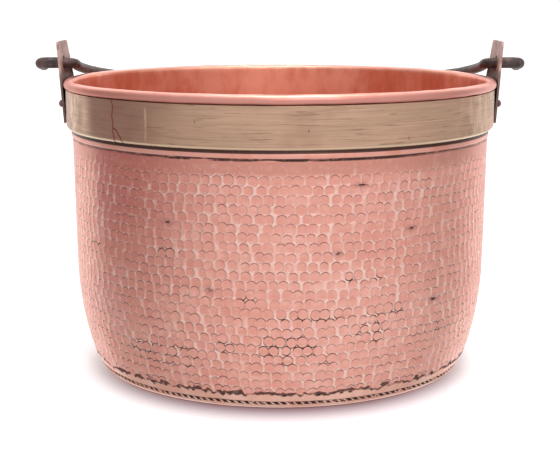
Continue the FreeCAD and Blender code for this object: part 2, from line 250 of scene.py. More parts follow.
def hammerMarks(wiring, position, use):
    # Gives what the topmost mark at a point looks like from there.
    x, y, z = wiring.split(position)
    count = use["marksRound"]
    angle = wiring.bearing(x, y)
    alongRaw = wiring.plus(wiring.times(angle, count / (2 * math.pi)), count / 2)
    cellWidth = wiring.times(wiring.distance(x, y), 2 * math.pi / count)
    wander = wiring.noise(wiring.stretched(position, (1, 1, 0.6)), *use["wanderNoise"])
    crowding = wiring.noise(wiring.stretched(position, (1, 1, 3.0)), *use["crowdingNoise"])
    up = wiring.times(wiring.minus(z, use["firstRow"]), 1 / use["rowPitch"])
    up = wiring.plus(up, wiring.times(wiring.minus(wander, 0.5), use["rowWave"] * 2))
    swell = wiring.times(wiring.minus(crowding, 0.5), use["swellShare"])
    rowNow = wiring.maths("FLOOR", up)
    inside, edge, upness, across, tint = 0.0, -0.001, 0.0, 0.0, 0.5
    soft = use["softEdge"]
    for rowStep in (1, 0, -1):
        row = wiring.plus(rowNow, rowStep)
        rowShift = wiring.chance(wiring.joined(row, 3.7, 1.3))[0]
        along = wiring.plus(alongRaw, rowShift)
        columnNow = wiring.maths("FLOOR", along)
        for columnStep in (-1, 0, 1):
            column = wiring.plus(columnNow, columnStep)
            cell = wiring.maths("WRAP", column, count, 0.0)
            value, colour = wiring.chance(wiring.joined(cell, row, 0.5))
            first, second, third = wiring.split(colour)
            centreAlong = wiring.plus(column, wiring.plus(wiring.times(first, use["jitterAlong"] * 2),
                                                          0.5 - use["jitterAlong"]))
            centreUp = wiring.plus(row, wiring.plus(wiring.times(second, use["jitterUp"] * 2),
                                                    0.5 - use["jitterUp"]))
            sideways = wiring.times(wiring.minus(along, centreAlong), cellWidth)
            upwards = wiring.times(wiring.minus(up, centreUp), use["rowPitch"])
            reach = wiring.distance(sideways, upwards)
            radius = wiring.plus(wiring.plus(use["markRadius"] - use["radiusSpread"], swell),
                                 wiring.times(third, use["radiusSpread"] * 2))
            depthIn = wiring.minus(radius, reach)
            here = wiring.rise(depthIn, -soft, soft)
            edge = wiring.between(here, edge, depthIn)
            upness = wiring.between(here, upness, wiring.maths("DIVIDE", upwards, radius))
            across = wiring.between(here, across, wiring.maths("DIVIDE", sideways, radius))
            tint = wiring.between(here, tint, value)
            inside = wiring.maths("MAXIMUM", inside, here)
    ragged = wiring.times(wiring.minus(wiring.noise(position, *use["fadeNoise"]), 0.5), use["fadeRaggedness"])
    fade = wiring.rise(wiring.plus(z, ragged), use["fadeFrom"], use["fadeTo"])
    cover = wiring.times(inside, fade)
    dent = wiring.times(wiring.rise(edge, 0.0, use["lip"]), -use["depth"])
    lean = wiring.times(wiring.times(across, wiring.minus(tint, 0.5)), use["tilt"] * 2)
    height = wiring.times(wiring.plus(dent, lean), cover)
    return {"cover": cover, "edge": edge, "upness": upness, "tint": tint, "height": height,
            "angle": angle, "z": z, "fade": fade}


# Geometry node trees.

def newTree(name, inputs):
    tree = bpy.data.node_groups.new(name, "GeometryNodeTree")
    tree.interface.new_socket("Geometry", in_out="INPUT", socket_type="NodeSocketGeometry")
    for label, kind, value in inputs:
        socket = tree.interface.new_socket(label, in_out="INPUT", socket_type=kind)
        socket.default_value = value
    tree.interface.new_socket("Geometry", in_out="OUTPUT", socket_type="NodeSocketGeometry")
    start = tree.nodes.new("NodeGroupInput")
    end = tree.nodes.new("NodeGroupOutput")
    return tree, start, end


def applyTree(piece, tree, values):
    # Runs the tree on the piece once and keeps the plain mesh that it gives.
    modifier = piece.modifiers.new(tree.name, "NODES")
    modifier.node_group = tree
    sockets = {item.name: item.identifier for item in tree.interface.items_tree if item.in_out == "INPUT"}
    for label, value in values.items():
        modifier[sockets[label]] = value
    seen = piece.evaluated_get(bpy.context.evaluated_depsgraph_get())
    mesh = bpy.data.meshes.new_from_object(seen)
    name = piece.name
    mesh.name = name
    bpy.data.objects.remove(piece)
    result = bpy.data.objects.new(name, mesh)
    bpy.context.scene.collection.objects.link(result)
    mesh.polygons.foreach_set("use_smooth", [True] * len(mesh.polygons))
    return result


def finishTree(wiring, geometry, end, material):
    realized = wiring.add("GeometryNodeRealizeInstances")
    wiring.feed(realized.inputs[0], geometry)
    painted = wiring.add("GeometryNodeSetMaterial")
    wiring.feed(painted.inputs["Geometry"], realized.outputs[0])
    painted.inputs["Material"].default_value = material
    wiring.feed(end.inputs[0], painted.outputs[0])


# Finishes.

def newFinish(name):
    material = bpy.data.materials.new(name)
    material.use_nodes = True
    tree = material.node_tree
    shader = tree.nodes["Principled BSDF"]
    wiring = Wiring(tree)
    coordinates = wiring.add("ShaderNodeTexCoord")
    return material, wiring, shader, coordinates.outputs["Object"]


def bump(wiring, shader, height, distance, strength):
    node = wiring.add("ShaderNodeBump")
    node.inputs["Strength"].default_value = strength
    node.inputs["Distance"].default_value = distance
    wiring.feed(node.inputs["Height"], height)
    wiring.tree.links.new(node.outputs["Normal"], shader.inputs["Normal"])


def attribute(wiring, name):
    return wiring.add("ShaderNodeAttribute", attribute_name=name).outputs["Fac"]


def over(wiring, angle, ends):
    # 0 to 1 from one angle to the other, given in degrees.
    return wiring.rise(angle, math.radians(ends[0]), math.radians(ends[1]))


def spot(wiring, angle, z, degrees, height, wide, tall):
    # A soft round patch on the wall, 1 in its middle.
    sideways = wiring.times(wiring.minus(angle, math.radians(degrees)), pot["wallRadius"] / wide)
    upwards = wiring.times(wiring.minus(z, height), 1 / tall)
    return wiring.rise(wiring.distance(sideways, upwards), 1.0, 0.0)


copper = {
    "land": (0.92, 0.470, 0.385, 1),        # polished copper between the marks
    "mark": (0.89, 0.430, 0.350, 1),        # inside the marks
    "deepMark": (0.80, 0.335, 0.265, 1),
    "patinaAndReflection": (0.60, 0.19, 0.155, 1),       # zone under the band, front left: partly patina, partly painted dark reflection
    "pale": (0.98, 0.60, 0.52, 1),
    "glare": (1.0, 0.74, 0.66, 1),          # painted highlight: brightest spots between the marks
    # black for dirt and smudges, and for painted shadow under the bead, under the band and in the marks'
    # upper edges
    "dirtAndShade": (0.035, 0.025, 0.025, 1),
    "arc": (0.26, 0.095, 0.085, 1),         # brown line along a mark's edge, stronger on its upper side as painted shade
    "strip": (0.56, 0.235, 0.18, 1),        # duller strip under the bead, darkened by patina and by painted shadow under the band
    "metallic": 0.92,
    "roughness": 0.40,
    "broad": (7.0, 3.0, 0.55),              # noises: scale, detail and roughness
    "fine": (190.0, 4.0, 0.6),
    "streak": (26.0, 3.0, 0.6),
    "mottle": (75.0, 3.0, 0.65),
    "patchy": (60.0, 3.0),
    "dotted": (105.0, 2.0),
    "blotch": (95.0, 3.0),
    "stripHeights": (0.1985, 0.2075),
    "duskHeights": (0.11, 0.20),            # a little deeper towards the top
    "darkZoneIn": (-57, -52),              # degrees where the darker zone of patina and painted dark reflection comes in
    "brownedRight": (-10, -46),             # and where it fades again
    "darkZoneHeights": (0.05, 0.21),
    "arcWidth": (0.0011, 0.0004),           # how far inside a mark's edge its brown line reaches
    "thinWidth": (0.0009, 0.0003),          # the same for the thin black line, painted shade in the marks' upper edges
    # edges of the painted highlight in the marks' lower sides
    "glintFrom": (0.0003, 0.0010),
    "glintTo": (0.0022, 0.0012),
    "lowDown": (0.15, 0.03),                # heights over which more black is held
    "lipBlack": (0.0050, 0.0002),           # black above the ragged lower edge
    "lipEnd": (0.0065, 0.0030),
    "beadShadowHeights": (0.2146, 0.2154),      # painted shadow just under the bead, strongest in front
    "beadShadowFront": (46, 26),
    "haloWide": 2.4,                        # brown halo of a smudge, in smudge sizes
    "haloTall": 2.8,
    "scorches": [                           # dark smudges: degrees, height, width, height of each
        (-28.7, 0.1617, 0.0045, 0.0020), (14.1, 0.1385, 0.0040, 0.0020), (-17.5, 0.1075, 0.0055, 0.0022),
        (20.0, 0.1946, 0.0060, 0.0018), (34.6, 0.1547, 0.0040, 0.0018), (43.3, 0.0890, 0.0060, 0.0026),
        (118.0, 0.1400, 0.0050, 0.0022), (-140.0, 0.1100, 0.0060, 0.0024), (171.0, 0.0800, 0.0050, 0.0022),
    ],
    "blackened": [                          # where the marks' edges hold more black
        (2.0, 0.058, 0.036, 0.022), (8.0, 0.086, 0.046, 0.007), (27.0, 0.086, 0.030, 0.007),
        (-8.0, 0.100, 0.012, 0.008), (-14.0, 0.058, 0.016, 0.008), (12.0, 0.046, 0.010, 0.012),
        (24.0, 0.068, 0.022, 0.016), (21.0, 0.116, 0.026, 0.006), (-29.0, 0.136, 0.020, 0.006),
        (-58.0, 0.132, 0.016, 0.006), (-32.0, 0.046, 0.070, 0.016), (44.0, 0.060, 0.040, 0.010),
        (120.0, 0.070, 0.080, 0.022), (-150.0, 0.075, 0.090, 0.020),
    ],
}


def copperGrain(wiring, position):
    # The noises that the copper's tones are mixed by.
    return {
        "broad": wiring.noise(wiring.stretched(position, (1, 1, 1.6)), *copper["broad"]),
        "fine": wiring.noise(position, *copper["fine"]),
        "streak": wiring.noise(wiring.stretched(position, (1, 1, 5.0)), *copper["streak"]),
        "mottle": wiring.noise(wiring.stretched(position, (1, 1, 1.5)), *copper["mottle"]),
        "patchy": wiring.rise(wiring.noise(position, *copper["patchy"]), 0.40, 0.62),
        "dotted": wiring.rise(wiring.noise(position, *copper["dotted"]), 0.43, 0.60),
        "blotch": wiring.noise(wiring.stretched(position, (1, 1, 1.8)), *copper["blotch"]),
    }


def markTone(wiring, marks, grain):
    # Copper between and inside the marks, with the duller strip above them, darkened by patina and by painted
    # shadow under the band.
    lightHere = wiring.times(wiring.rise(grain["broad"], 0.35, 0.65), 0.75)
    land = wiring.colours(lightHere, copper["land"], copper["pale"])
    land = wiring.colours(wiring.times(wiring.rise(marks["fade"], 1.0, 0.0), 0.8), land, copper["mark"])
    streaks = wiring.times(wiring.rise(grain["streak"], 0.35, 0.7), 0.50)
    inMark = wiring.colours(wiring.plus(wiring.times(marks["tint"], 0.28), streaks),
                            copper["mark"], copper["deepMark"])
    landSpots = wiring.times(wiring.rise(grain["broad"], 0.4, 0.62), 0.5)
    inMark = wiring.colours(landSpots, inMark, copper["land"])
    deepSpots = wiring.times(wiring.rise(grain["mottle"], 0.48, 0.66), 0.5)
    inMark = wiring.colours(deepSpots, inMark, copper["deepMark"])
    paleSpots = wiring.times(wiring.rise(grain["mottle"], 0.46, 0.34), 0.45)
    inMark = wiring.colours(paleSpots, inMark, copper["pale"])
    inside = wiring.times(marks["cover"], wiring.rise(marks["edge"], 0.0001, 0.0010))
    body = wiring.colours(inside, land, inMark)
    # Patina and painted shadow under the band, in the strip above the marks.
    strip = wiring.times(wiring.rise(marks["z"], *copper["stripHeights"]), 0.72)
    body = wiring.colours(strip, body, copper["strip"])
    dusk = wiring.times(wiring.rise(marks["z"], *copper["duskHeights"]), 0.30)
    return wiring.colours(dusk, body, copper["deepMark"])


def patinaAndReflectionZone(wiring, marks, grain, body):
    # Darker zone at the front left, strongest towards the top: partly patina, partly painted dark reflection.
    across = wiring.times(over(wiring, marks["angle"], copper["darkZoneIn"]),
                          over(wiring, marks["angle"], copper["brownedRight"]))
    upwards = wiring.between(wiring.rise(marks["z"], *copper["darkZoneHeights"]), 0.16, 0.95)
    uneven = wiring.plus(0.55, wiring.times(grain["broad"], 0.8))
    brown = wiring.times(wiring.times(across, upwards), uneven)
    return wiring.colours(wiring.maths("MINIMUM", brown, 1.0), body, copper["patinaAndReflection"])


def edgeLine(wiring, marks, width):
    # 1 along the inside of the marks' edges.
    return wiring.times(wiring.rise(marks["edge"], *width), marks["cover"])


def edgeSides(wiring, marks):
    # 1 at a mark's top and bottom, 0 at its left and right.
    return wiring.rise(wiring.maths("ABSOLUTE", marks["upness"]), 0.1, 0.75)


def markEdges(wiring, marks, grain, body):
    # Brown line round each mark, darker on its upper side as painted shade, a painted highlight glint in its
    # lower side, painted highlight glare between the marks.
    # Brown tarnish line in the marks' edges, made stronger on their upper side as painted shade.
    upper = wiring.rise(marks["upness"], -0.5, 0.7)
    ring = wiring.times(edgeLine(wiring, marks, copper["arcWidth"]), edgeSides(wiring, marks))
    ring = wiring.times(ring, wiring.between(upper, 0.40, 0.78))
    ring = wiring.times(ring, wiring.plus(0.55, wiring.times(grain["patchy"], 0.6)))
    body = wiring.colours(ring, body, copper["arc"])
    # Painted highlight: a pale glint inside the lower side of each mark.
    glint = wiring.times(wiring.rise(marks["edge"], *copper["glintFrom"]),
                         wiring.rise(marks["edge"], *copper["glintTo"]))
    glint = wiring.times(wiring.times(glint, wiring.rise(marks["upness"], -0.35, -0.8)), marks["cover"])
    body = wiring.colours(wiring.times(glint, 0.6), body, copper["pale"])
    # Painted highlight: glare on the copper between the marks.
    gaps = wiring.times(wiring.rise(marks["cover"], 0.5, 0.0), wiring.rise(grain["mottle"], 0.42, 0.58))
    gaps = wiring.times(gaps, marks["fade"])
    return wiring.colours(wiring.times(gaps, 0.55), body, copper["glare"])


def wallBlack(wiring, marks, grain):
    # Black in the marks' edges (painted shade on their upper sides, dirt where more is held), black at the
    # lower lip, painted shadow under the bead and dirt in a few smudges.
    low = wiring.rise(marks["z"], *copper["lowDown"])
    # Thin black line in the marks' upper edges: painted shade, with more dirt held towards the bottom.
    topEdge = wiring.times(edgeLine(wiring, marks, copper["thinWidth"]),
                           wiring.rise(marks["upness"], 0.3, 0.8))
    amount = wiring.times(wiring.plus(0.15, wiring.times(low, 0.40)), grain["patchy"])
    black = wiring.times(topEdge, amount)
    held = 0.0
    for degrees, height, wide, tall in copper["blackened"]:
        here = spot(wiring, marks["angle"], marks["z"], degrees, height, wide, tall)
        held = wiring.maths("MAXIMUM", held, here)
    held = wiring.times(wiring.rise(held, 0.02, 0.35), wiring.plus(0.22, wiring.times(grain["dotted"], 0.9)))
    line = edgeLine(wiring, marks, copper["arcWidth"])
    ring = wiring.times(wiring.times(line, wiring.plus(0.3, edgeSides(wiring, marks))), held)
    black = wiring.maths("MAXIMUM", black, ring)
    for degrees, height, wide, tall in copper["scorches"]:
        smudge = spot(wiring, marks["angle"], marks["z"], degrees, height, wide, tall)
        smudge = wiring.times(wiring.rise(smudge, 0.1, 0.8), wiring.rise(grain["fine"], 0.35, 0.55))
        black = wiring.maths("MAXIMUM", black, smudge)
    aboveLip = attribute(wiring, "aboveLip")
    near = wiring.times(wiring.rise(aboveLip, *copper["lipBlack"]), 0.22)
    lip = wiring.rise(wiring.plus(grain["blotch"], near), 0.63, 0.70)
    lip = wiring.times(lip, wiring.rise(aboveLip, *copper["lipEnd"]))
    black = wiring.maths("MAXIMUM", black, wiring.times(lip, 0.85))
    # Painted shadow: black just under the bead.
    beadShadow = wiring.times(wiring.rise(marks["z"], *copper["beadShadowHeights"]),
                          wiring.rise(grain["streak"], 0.38, 0.50))
    frontal = over(wiring, wiring.maths("ABSOLUTE", marks["angle"]), copper["beadShadowFront"])
    beadShadow = wiring.times(beadShadow, wiring.between(frontal, 0.35, 1.0))
    return wiring.maths("MAXIMUM", black, wiring.times(beadShadow, 0.9))


def hammeredCopper():
    material, wiring, shader, position = newFinish("hammeredCopper")
    marks = hammerMarks(wiring, position, hammering)
    grain = copperGrain(wiring, position)
    body = markTone(wiring, marks, grain)
    body = patinaAndReflectionZone(wiring, marks, grain, body)
    body = markEdges(wiring, marks, grain, body)
    for degrees, height, wide, tall in copper["scorches"]:
        halo = spot(wiring, marks["angle"], marks["z"], degrees, height,
                    wide * copper["haloWide"], tall * copper["haloTall"])
        body = wiring.colours(wiring.times(wiring.rise(halo, 0.0, 0.9), 0.30), body, copper["arc"])
    black = wallBlack(wiring, marks, grain)
    # Dirt and painted shadow, laid on in black.
    body = wiring.colours(wiring.maths("MINIMUM", black, 0.95), body, copper["dirtAndShade"])
    deepGrain = wiring.times(wiring.rise(grain["fine"], 0.52, 0.70), 0.30)
    body = wiring.colours(deepGrain, body, copper["deepMark"])
    paleGrain = wiring.times(wiring.rise(grain["fine"], 0.46, 0.32), 0.22)
    body = wiring.colours(paleGrain, body, copper["pale"])
    wiring.feed(shader.inputs["Base Color"], body)
    shader.inputs["Metallic"].default_value = copper["metallic"]
    wiring.feed(shader.inputs["Roughness"], wiring.plus(copper["roughness"], wiring.times(black, 0.35)))
    bump(wiring, shader, wiring.plus(marks["height"], wiring.times(grain["fine"], 0.00005)), 1.0, 0.8)
    return material


lining = {
    "bright": (0.93, 0.45, 0.33, 1),
    "deep": (0.78, 0.27, 0.17, 1),
    "stainAndReflection": (0.55, 0.16, 0.10, 1),
    "outside": (0.88, 0.43, 0.355, 1),
    "side": (0.70, 0.30, 0.255, 1),         # outer side of the rolled rim
    "metallic": 0.95,
    "roughness": 0.36,
    "blotch": (34.0, 4.0, 0.65),            # noises: scale, detail and roughness
    "cloud": (9.0, 3.0, 0.55),
    "fine": (260.0, 3.0, 0.6),
    "shadowBreaks": (60.0, 3.0, 0.7),
    "skinEdge": (0.1934, 0.1942),           # radii where the inside turns into the outside
    "blackFrom": (0.1942, 0.1944),
    "rollTop": (0.2683, 0.2662),            # heights that bound the roll's side
    "rollBottom": (0.2590, 0.2600),
    "darkZoneSide": (-30, -60),              # degrees where the roll side darkens: partly stain, partly painted dark reflection
    "beadShadowWidth": (0.0016, 0.0007),        # painted shadow in the crease at the bead's foot
    "gapBelow": (0.0024, 0.0016),           # how far below the bead's top the painted shadow under the band starts
    "gapTop": (0.2600, 0.2590),
}


def liningPaintedShadow(wiring, position, out, z):
    # Painted shadow: black in the crease under the bead and in the gap under the band.
    foot = wiring.minus(z, pot["beadBottom"] + 0.0001)
    beadShadow = wiring.rise(wiring.maths("ABSOLUTE", foot), *lining["beadShadowWidth"])
    # Painted shadow in the gap under the band, over the bead's top.
    low, high = lining["gapBelow"]
    bandShadow = wiring.rise(z, pot["beadTop"] - low, pot["beadTop"] - high)
    bandShadow = wiring.times(bandShadow, wiring.rise(z, *lining["gapTop"]))
    # The painted shadow at the bead's foot breaks up unevenly.
    worn = wiring.between(wiring.rise(wiring.noise(position, *lining["shadowBreaks"]), 0.34, 0.5), 0.55, 1.0)
    black = wiring.maths("MAXIMUM", wiring.times(beadShadow, worn), bandShadow)
    return wiring.times(black, wiring.rise(out, *lining["blackFrom"]))


def liningCopper():
    # The smooth inside, the rolled rim and the bead.
    material, wiring, shader, position = newFinish("liningCopper")
    x, y, z = wiring.split(position)
    out = wiring.distance(x, y)
    blotch = wiring.noise(wiring.stretched(position, (1, 1, 0.5)), *lining["blotch"])
    cloud = wiring.noise(position, *lining["cloud"])
    fine = wiring.noise(position, *lining["fine"])
    inside = wiring.colours(wiring.rise(blotch, 0.35, 0.66), lining["deep"], lining["bright"])
    inside = wiring.colours(wiring.times(wiring.rise(cloud, 0.52, 0.70), 0.55), inside, lining["stainAndReflection"])
    deepSpots = wiring.times(wiring.rise(blotch, 0.45, 0.7), 0.5)
    outer = wiring.colours(deepSpots, lining["outside"], lining["deep"])
    rollSide = wiring.times(wiring.rise(z, *lining["rollTop"]), wiring.rise(z, *lining["rollBottom"]))
    outer = wiring.colours(wiring.times(rollSide, 0.8), outer, lining["side"])
    # Roll side darker on the left: partly stain, partly painted dark reflection.
    browned = over(wiring, wiring.bearing(x, y), lining["darkZoneSide"])
    outer = wiring.colours(wiring.times(wiring.times(browned, rollSide), 0.65), outer, lining["stainAndReflection"])
    body = wiring.colours(wiring.rise(out, *lining["skinEdge"]), inside, outer)
    black = liningPaintedShadow(wiring, position, out, z)
    # Painted shadow under the bead and the band, in black.
    body = wiring.colours(wiring.times(black, 0.93), body, copper["dirtAndShade"])
    wiring.feed(shader.inputs["Base Color"], body)
    shader.inputs["Metallic"].default_value = lining["metallic"]
    wiring.feed(shader.inputs["Roughness"], wiring.plus(lining["roughness"], wiring.times(cloud, 0.10)))
    bump(wiring, shader, wiring.plus(wiring.times(fine, 0.03), wiring.times(blotch, 0.25)), 0.0011, 0.6)
    return material


panMetal = {
    "plain": (0.86, 0.46, 0.36, 1),
    "worn": (0.95, 0.60, 0.49, 1),
    "underside": (0.50, 0.24, 0.18, 1),
    "metallic": 0.9,
    "roughness": 0.42,
    "cloud": (30.0, 4.0, 0.6),              # noises: scale, detail and roughness
    "fine": (230.0, 4.0, 0.65),
    "blackBreaks": (140.0, 3.0, 0.7),
    "undersideHeights": (0.0009, 0.0),
}


def panCopper():
    material, wiring, shader, position = newFinish("panCopper")
    z = wiring.split(position)[2]
    cloud = wiring.noise(position, *panMetal["cloud"])
    fine = wiring.noise(position, *panMetal["fine"])
    body = wiring.colours(wiring.rise(cloud, 0.35, 0.65), panMetal["plain"], panMetal["worn"])
    under = wiring.times(wiring.rise(z, *panMetal["undersideHeights"]), 0.8)
    body = wiring.colours(under, body, panMetal["underside"])
    breaks = wiring.rise(wiring.noise(position, *panMetal["blackBreaks"]), 0.30, 0.48)
    # Black just under the wall's edge and in the groove, broken up by noise.
    black = wiring.times(attribute(wiring, "lipAndGrooveBlack"), breaks)
    body = wiring.colours(wiring.times(black, 0.96), body, copper["dirtAndShade"])
    wiring.feed(shader.inputs["Base Color"], body)
    shader.inputs["Metallic"].default_value = panMetal["metallic"]
    wiring.feed(shader.inputs["Roughness"], wiring.plus(panMetal["roughness"], wiring.times(black, 0.35)))
    bump(wiring, shader, wiring.plus(wiring.times(fine, 0.5), cloud), 0.0004, 0.6)
    return material


brass = {
    "tan": (0.61, 0.375, 0.265, 1),
    "khaki": (0.50, 0.325, 0.22, 1),
    "brown": (0.30, 0.145, 0.105, 1),
    "pale": (0.86, 0.62, 0.48, 1),
    # painted highlight on the band's lower edge
    "edge": (1.0, 0.86, 0.62, 1),
    "scratch": (0.22, 0.13, 0.09, 1),
    "crack": (0.24, 0.055, 0.045, 1),
    "metallic": 0.85,
    "roughness": 0.38,
    "brushing": (9.0, 1, 900.0),            # stretch along, through and up the unrolled band
    "broadBrush": (14.0, 1, 260.0),
    "lines": (26.0, 1, 560.0),
    "mottle": (110.0, 1, 40.0),
    "darkZoneIn": (-58, -52),              # degrees where the painted dark reflection comes in
    "brownedRight": (-14, -48),             # and where it fades again
    "leftReflectionIn": (-57, -66),               # painted reflection: pale mottling at the sides, strongest on the left
    "leftReflectionOut": (-118, -95),
    "rightReflection": (46, 56),
    "rightShare": 0.4,
    "edgeHighlightHeights": (0.2272, 0.2256),         # heights of the painted highlight along the lower edge
    "nicks": [(6.6, 0.2404), (31.8, 0.2315), (-20.0, 0.2465), (76.0, 0.2380), (150.0, 0.2440)],
    "nickWide": 0.0012,
    "nickTall": 0.0030,
}


def brushedBrass():
    material, wiring, shader, position = newFinish("brushedBrass")
    x, y, z = wiring.split(position)
    angle = wiring.bearing(x, y)
    unrolled = wiring.joined(wiring.times(angle, pot["wallRadius"]), 0.0, z)
    brushing = wiring.noise(wiring.stretched(unrolled, brass["brushing"]), 1.0, 4.0, 0.65)
    broadBrush = wiring.noise(wiring.stretched(unrolled, brass["broadBrush"]), 1.0, 3.0, 0.6)
    cloud = wiring.noise(position, 13.0, 3.0, 0.6)
    body = wiring.colours(wiring.rise(broadBrush, 0.3, 0.7), brass["khaki"], brass["tan"])
    body = wiring.colours(wiring.times(wiring.rise(cloud, 0.5, 0.7), 0.4), body, brass["brown"])
    body = wiring.colours(wiring.times(wiring.rise(brushing, 0.54, 0.70), 0.60), body, brass["scratch"])
    body = wiring.colours(wiring.times(wiring.rise(brushing, 0.44, 0.28), 0.30), body, brass["pale"])
    lines = wiring.noise(wiring.stretched(unrolled, brass["lines"]), 1.0, 2.0, 0.6)
    lines = wiring.rise(lines, 0.58, 0.68)
    body = wiring.colours(wiring.times(lines, 0.62), body, brass["scratch"])
    # Painted dark reflection on the band at the front left.
    browned = wiring.times(over(wiring, angle, brass["darkZoneIn"]),
                           over(wiring, angle, brass["brownedRight"]))
    body = wiring.colours(wiring.times(browned, 0.70), body, brass["brown"])
    # Painted reflection: pale mottling on the band's sides.
    mottle = wiring.noise(wiring.stretched(unrolled, brass["mottle"]), 1.0, 3.0, 0.6)
    mottle = wiring.rise(mottle, 0.46, 0.60)
    leftReflection = wiring.times(over(wiring, angle, brass["leftReflectionIn"]),
                            over(wiring, angle, brass["leftReflectionOut"]))
    rightReflection = wiring.times(over(wiring, angle, brass["rightReflection"]), brass["rightShare"])
    sideReflection = wiring.plus(leftReflection, rightReflection)
    body = wiring.colours(wiring.times(wiring.times(mottle, sideReflection), 0.8), body, brass["pale"])
    # Painted highlight along the rounded lower edge.
    low = wiring.times(wiring.rise(z, *brass["edgeHighlightHeights"]), 0.75)
    body = wiring.colours(low, body, brass["edge"])
    body = wiring.colours(attribute(wiring, "crack"), body, brass["crack"])
    rubbed = wiring.times(attribute(wiring, "rub"), wiring.rise(wiring.noise(position, 90.0, 3.0), 0.35, 0.6))
    body = wiring.colours(wiring.times(rubbed, 0.55), body, brass["pale"])
    nick = 0.0
    for degrees, height in brass["nicks"]:
        here = spot(wiring, angle, z, degrees, height, brass["nickWide"], brass["nickTall"])
        nick = wiring.maths("MAXIMUM", nick, here)
    body = wiring.colours(wiring.times(wiring.rise(nick, 0.2, 0.8), 0.7), body, brass["scratch"])
    wiring.feed(shader.inputs["Base Color"], body)
    shader.inputs["Metallic"].default_value = brass["metallic"]
    wiring.feed(shader.inputs["Roughness"], wiring.plus(brass["roughness"], wiring.times(brushing, 0.18)))
    bump(wiring, shader, wiring.plus(wiring.times(brushing, 0.6), broadBrush), 0.00012, 0.7)
    return material


earMetal = {
    "plate": (0.50, 0.335, 0.290, 1),
    "rust": (0.30, 0.165, 0.140, 1),
    "pale": (0.72, 0.55, 0.48, 1),
    "pitAndShadow": (0.08, 0.05, 0.045, 1),
    "metallic": 0.55,
    "roughness": 0.55,
    "cloud": (60.0, 4.0, 0.65),             # noises: scale, detail and roughness
    "pits": (420.0, 4.0, 0.7),
    "footShadowAndDirt": (0.280, 0.272),             # heights over which the foot darkens: painted shadow of the bail, and dirt
    "darkUnevenness": 0.02,
}


def earCopper(name):
    material, wiring, shader, position = newFinish(name)
    cloud = wiring.noise(position, *earMetal["cloud"])
    pits = wiring.noise(position, *earMetal["pits"])
    body = wiring.colours(wiring.rise(cloud, 0.35, 0.65), earMetal["rust"], earMetal["plate"])
    body = wiring.colours(wiring.times(wiring.rise(pits, 0.40, 0.30), 0.5), body, earMetal["pale"])
    # Lower part darker: painted shadow of the bail, and dirt.
    uneven = wiring.times(wiring.minus(cloud, 0.5), earMetal["darkUnevenness"])
    low = wiring.rise(wiring.plus(wiring.split(position)[2], uneven), *earMetal["footShadowAndDirt"])
    body = wiring.colours(wiring.times(low, 0.72), body, earMetal["pitAndShadow"])
    body = wiring.colours(wiring.times(wiring.rise(pits, 0.58, 0.70), 0.8), body, earMetal["pitAndShadow"])
    wiring.feed(shader.inputs["Base Color"], body)
    shader.inputs["Metallic"].default_value = earMetal["metallic"]
    shader.inputs["Roughness"].default_value = earMetal["roughness"]
    bump(wiring, shader, wiring.plus(wiring.times(pits, 0.5), cloud), 0.0006, 0.7)
    return material


iron = {
    "dark": (0.050, 0.038, 0.038, 1),
    "brown": (0.130, 0.076, 0.066, 1),
    "worn": (0.27, 0.21, 0.20, 1),
    "metallic": 0.6,
    "roughness": 0.42,
    "scale": (70.0, 4.0, 0.65),             # noises: scale, detail and roughness
    "pits": (330.0, 4.0, 0.7),
}


def forgedIron(name):
    material, wiring, shader, position = newFinish(name)
    scale = wiring.noise(position, *iron["scale"])
    pits = wiring.noise(position, *iron["pits"])
    body = wiring.colours(wiring.rise(scale, 0.38, 0.64), iron["dark"], iron["brown"])
    body = wiring.colours(wiring.times(wiring.rise(pits, 0.52, 0.66), 0.35), body, iron["worn"])
    wiring.feed(shader.inputs["Base Color"], body)
    shader.inputs["Metallic"].default_value = iron["metallic"]
    wiring.feed(shader.inputs["Roughness"], wiring.plus(iron["roughness"], wiring.times(scale, 0.2)))
    bump(wiring, shader, wiring.plus(wiring.times(pits, 0.4), scale), 0.0006, 0.6)
    return material


wallFinish = hammeredCopper()
liningFinish = liningCopper()
panFinish = panCopper()
bandFinish = brushedBrass()
earFinish = earCopper("earPlate")
rivetFinish = earCopper("rivetHead")
bailFinish = forgedIron("forgedIron")
wireFinish = forgedIron("rimWireIron")
print("finishes made")


# The hammered wall.

wallShape = {
    "columns": 800,
    "rows": 112,
    "skin": 0.00072,            # its share of the sheet; the lining has the rest
    "lipWander": 0.0032,        # how ragged its lower edge is
    "sway": 0.0006,             # slow unevenness of the whole wall
    "backRows": 7,
    "lipBlend": 0.02,           # height over which the rows follow the ragged edge
    "calmBlend": 0.02,          # height under the bead where the sway fades
    "curl": 0.00035,            # how far the ragged edge stands off
    "curlHeight": 0.0025,
}


def lipHeight(angle):
    # Ragged lower edge of the hammered wall.
    broad = wave(angle, 0.0, 9.0, 4.2) * 0.55
    nick = wave(angle, 0.0, 46.0, 7.9) * 0.75
    return pot["seamHeight"] + wallShape["lipWander"] * (broad + nick)


